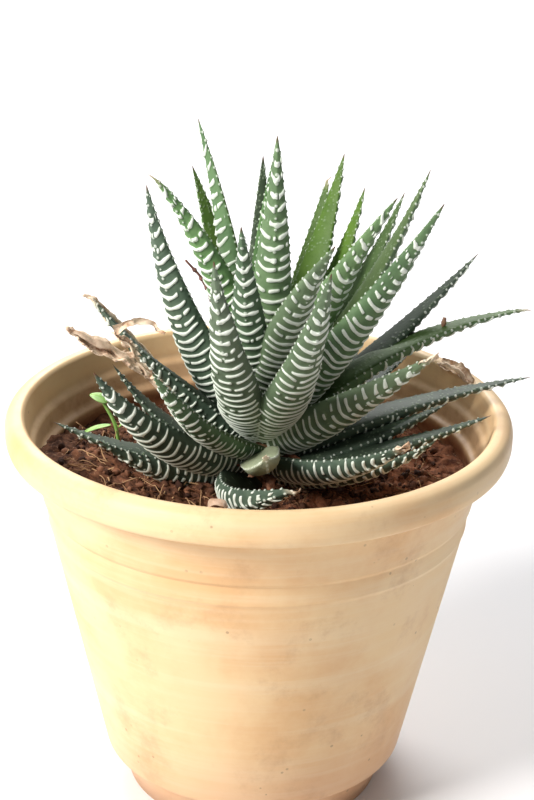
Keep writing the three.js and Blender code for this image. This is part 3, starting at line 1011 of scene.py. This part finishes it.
def build_dry_tissue(profile):
    rng = np.random.default_rng(21)
    heap = Heap()
    up = [0, 0, 1]
    line, _ = leaf_line("leaf_lower_01", np.linspace(0.5, 0.99, 6), 0.0, 0.0)
    widths = np.array([2.6, 2.3, 1.7, 1.5, 1.6, 0.6])
    beside = np.array([0, -0.8, 0.6]) * MM
    heap.add(*scrap(rng, line, widths, [0.2, 0.3, 1], 1.0), 0.95)
    heap.add(*scrap(rng, line + beside, 0.5 * widths, [0, 1, 0.6], 1.2), 0.6)
    line, _ = leaf_line("leaf_middle_03", np.linspace(0.55, 1.0, 6), 0.85, 0.3 * MM)
    heap.add(*scrap(rng, line, [0.5, 1.1, 1.6, 1.6, 1.3, 0.4], up, 0.8), 0.8)
    line, side = leaf_line("leaf_middle_02", np.linspace(0.78, 1.0, 5), 0.0, 0.5 * MM)
    heap.add(*scrap(rng, line, [1.0, 2.2, 2.6, 2.0, 0.8], side, 1.2), 0.9)
    tip = line[-1]
    curl = tip + np.array([[0, 0, 0], [4, 1, 2], [9, 2, 1.5], [13, 2, -1]]) * MM
    heap.add(*scrap(rng, curl, [1.2, 1.0, 0.7, 0.3], [0, 0.4, 1], 0.8), 1.0)
    for node, start in (("leaf_middle_05", 0.9), ("leaf_lower_04", 0.92)):
        line, side = leaf_line(node, np.linspace(start, 0.995, 4), 0.0, 0.0)
        heap.add(*scrap(rng, line, [1.2, 1.4, 1.2, 0.7], side, 0.8), 0.75)
    mouth = wall_radius(profile, rim_height - 2 * MM)
    edge = rim_route(mouth, rim_scrap)
    for _ in range(3):
        shift = rng.normal(0, 0.5, 3) * MM
        line = edge + shift
        heap.add(*scrap(rng, line, [0.5, 1.2, 1.1, 0.5], rng.normal(size=3), 0.8), 0.7)
    curl = rim_route(mouth, rim_curl)
    heap.add(*scrap(rng, curl, [0.6, 0.9, 0.9, 0.5], [0, 1, 0.5], 0.5), 0.5)
    line, _ = leaf_line("leaf_middle_04", np.array([bud_share]), 0.0, -0.3 * MM)
    bud = line[0] + np.array([[0, 0, 0], [0.3, 0, 1.3], [0.6, 0, 2.7]]) * MM
    heap.add(*scrap(rng, bud, [0.25, 0.8, 0.4], [1, 0, 0], 0.3), 0.35)
    for k in range(26):
        angle = rng.uniform(-2.6, -0.4) if k < 18 else rng.uniform(0, 2 * math.pi)
        direction = np.array([math.cos(angle), math.sin(angle), 0])
        low = stem_high.z - rng.uniform(9, 17) * MM
        start = direction * 6 * MM + [0, 0, low]
        end = direction * rng.uniform(10, 19) * MM + [0, 0, low + rng.uniform(-5, 1) * MM]
        line = [start, (start + end) / 2 + [0, 0, rng.uniform(0, 2) * MM], end]
        lean = np.cross(direction, up)
        shred = scrap(rng, line, [2.6, 1.9, 0.5], lean, 0.9)
        heap.add(*shred, rng.uniform(0, 0.45))
    heap.build("dry_tissue", papery_material(), "dry_stalk")


def papery_material():
    n = Nodes("dry_tissue")
    tint = n.attribute("tint")
    brown = n.mix(n.steps(n.noise(500, 5, 0.7), 0.35, 0.65), (0.1, 0.035, 0.018), (0.3, 0.12, 0.06))
    beige = n.mix(n.steps(n.noise(330, 5, 0.7), 0.3, 0.6), (0.5, 0.29, 0.17), (0.9, 0.73, 0.55))
    colour = n.mix(n.steps(tint, 0.2, 0.8), brown, beige)
    n.skin(colour, 0.8, 0.3)
    n.bump(n.noise(1200, 4), 0.4, 0.2 * MM)
    return n.material


def middle_route(node, count):
    """Middle line of a bar-shaped CAD node, from its lower end to its upper."""
    points, _ = node_mesh(node)
    centre = points.mean(0)
    axis = np.linalg.svd(points - centre)[2][0]
    axis *= math.copysign(1, axis[2])
    along = (points - centre) @ axis
    edges = np.linspace(along.min(), along.max(), count + 1)
    route = []
    for low, high in zip(edges, edges[1:]):
        chosen = (along >= low - 1e-7) & (along <= high + 1e-7)
        if chosen.sum() >= 4:
            route.append(points[chosen].mean(0))
    return np.array(route)


def build_stalk():
    rng = np.random.default_rng(5)
    route = resample(middle_route("dried_flower_stalk", 9), 160)
    share = np.linspace(0, 1, 160)
    radius = (0.55 - 0.25 * share) * MM
    for place in np.arange(0.3, 0.98, 0.062):
        radius = radius + rng.uniform(0.2, 0.4) * MM * np.exp(-(((share - place) / 0.009) ** 2))
    points, quads, triangles = thread(route, radius, 14)
    stalk = make_piece("fine_stalk", points, quads, triangles)
    n = Nodes("dry_stalk")
    colour = n.mix(n.steps(n.noise(420, 4, 0.7), 0.35, 0.65), (0.09, 0.03, 0.025), (0.3, 0.14, 0.1))
    n.skin(colour, 0.8)
    n.bump(n.noise(900, 4), 0.4, 0.2 * MM)
    finish_piece(stalk, n.material, ["dried_flower_stalk"])


def build_stem():
    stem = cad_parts["stem"]
    n = Nodes("stem_bark")
    scars = n.steps(n.noise(200, 5, 0.7, (1, 1, 5)), 0.35, 0.65)
    colour = n.mix(scars, (0.11, 0.05, 0.025), (0.33, 0.2, 0.1))
    n.skin(colour, 0.85)
    n.bump(n.noise(500, 5, 0.7, (1, 1, 4)), 0.7, 0.5 * MM)
    stem.data.materials.clear()
    stem.data.materials.append(n.material)


def seedling_material():
    n = Nodes("seedling_skin")
    veins = n.steps(n.noise(500, 4), 0.3, 0.7)
    colour = n.mix(veins, (0.2, 0.4, 0.08), (0.34, 0.55, 0.16))
    n.skin(colour, 0.5)
    n.bump(n.noise(900, 3), 0.25, 0.15 * MM)
    return n.material


def build_seedling():
    material = seedling_material()
    route = resample(middle_route("seedling_stem", 6), 60)
    points, quads, triangles = thread(route, np.linspace(0.5, 0.4, 60) * MM, 16)
    stem = make_piece("fine_seedling_stem", points, quads, triangles)
    finish_piece(stem, material, ["seedling_stem"])
    foot = route[0]
    for number in (1, 2, 3):
        node = f"seedling_leaf_0{number}"
        cad, _ = node_mesh(node)
        centre = (cad.max(0) + cad.min(0)) / 2
        along, across = np.linalg.svd(cad - cad.mean(0))[2][:2]
        if (centre - route[len(route) // 2]) @ along < 0:
            along = -along
        up = np.cross(along, across)
        if up[2] < 0:
            across, up = -across, -up
        length = np.ptp(cad @ along) / 2
        width = np.ptp(cad @ across) / 2
        steps, columns = 40, 28
        s = np.linspace(0.01, 0.99, steps)[:, None]
        turn = np.linspace(0, 2 * math.pi, columns, endpoint=False)[None]
        outline = np.sin(math.pi * s**0.8) ** 0.62
        u = np.cos(turn) * outline
        fold = 0.16 * (np.abs(u) ** 1.3) - 0.1 * np.exp(-((u / 0.1) ** 2))
        droop = -0.12 * (2 * s - 1) ** 2
        thick = 0.2 * MM * np.sin(turn) * outline**0.5
        body = (
            centre + along * ((2 * s - 1) * length * np.ones_like(turn))[..., None]
            + across * (u * width)[..., None]
            + up * ((fold * width + droop * length + 0 * turn) + thick)[..., None]
        )
        points, quads, triangles = closed_tube(body, body[0].mean(0), body[-1].mean(0))
        leaf = make_piece("fine_" + node, points, quads, triangles)
        finish_piece(leaf, material, [node])


build_camera()
build_light()
build_floor()
build_leaves()
pot_outline = build_pot()
soil_height = soil_surface()
build_soil(pot_outline, soil_height)
scatter_soil(soil_height)
build_dry_tissue(pot_outline)
build_stalk()
build_stem()
build_seedling()
